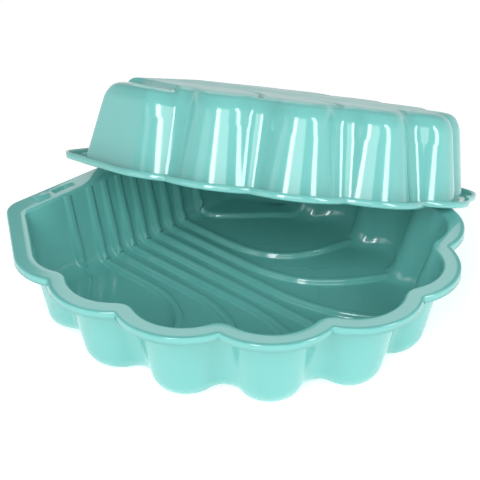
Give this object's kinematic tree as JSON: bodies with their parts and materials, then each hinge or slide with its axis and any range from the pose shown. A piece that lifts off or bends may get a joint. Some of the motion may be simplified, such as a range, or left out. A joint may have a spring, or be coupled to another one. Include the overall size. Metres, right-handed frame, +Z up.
{
  "type": "sandbox with cover",
  "caption": "Shallow fan-shaped play tray for sand with a scalloped rim and ribbed floor, and a matching upside-down tray as its loose cover.",
  "frame": {"origin": "on the ground, under the middle of the whole object's footprint", "axes": "+Z up; the base's straight back edge lies along X on the +Y side and its fan opens towards -Y"},
  "size_m": [1.0652, 1.0012, 0.4332],
  "materials": {
    "base_plastic": "smooth moulded gloss",
    "cover_plastic": "smooth moulded gloss"
  },
  "bodies": {
    "base": {"base_shell": "base_plastic"},
    "cover": {"cover_shell": "cover_plastic"}
  },
  "joints": [
    {"name": "cover_lift", "type": "slide", "parent": "base", "child": "cover", "axis": [0, 0, 1], "range_m": [0, 0.3]}
  ]
}
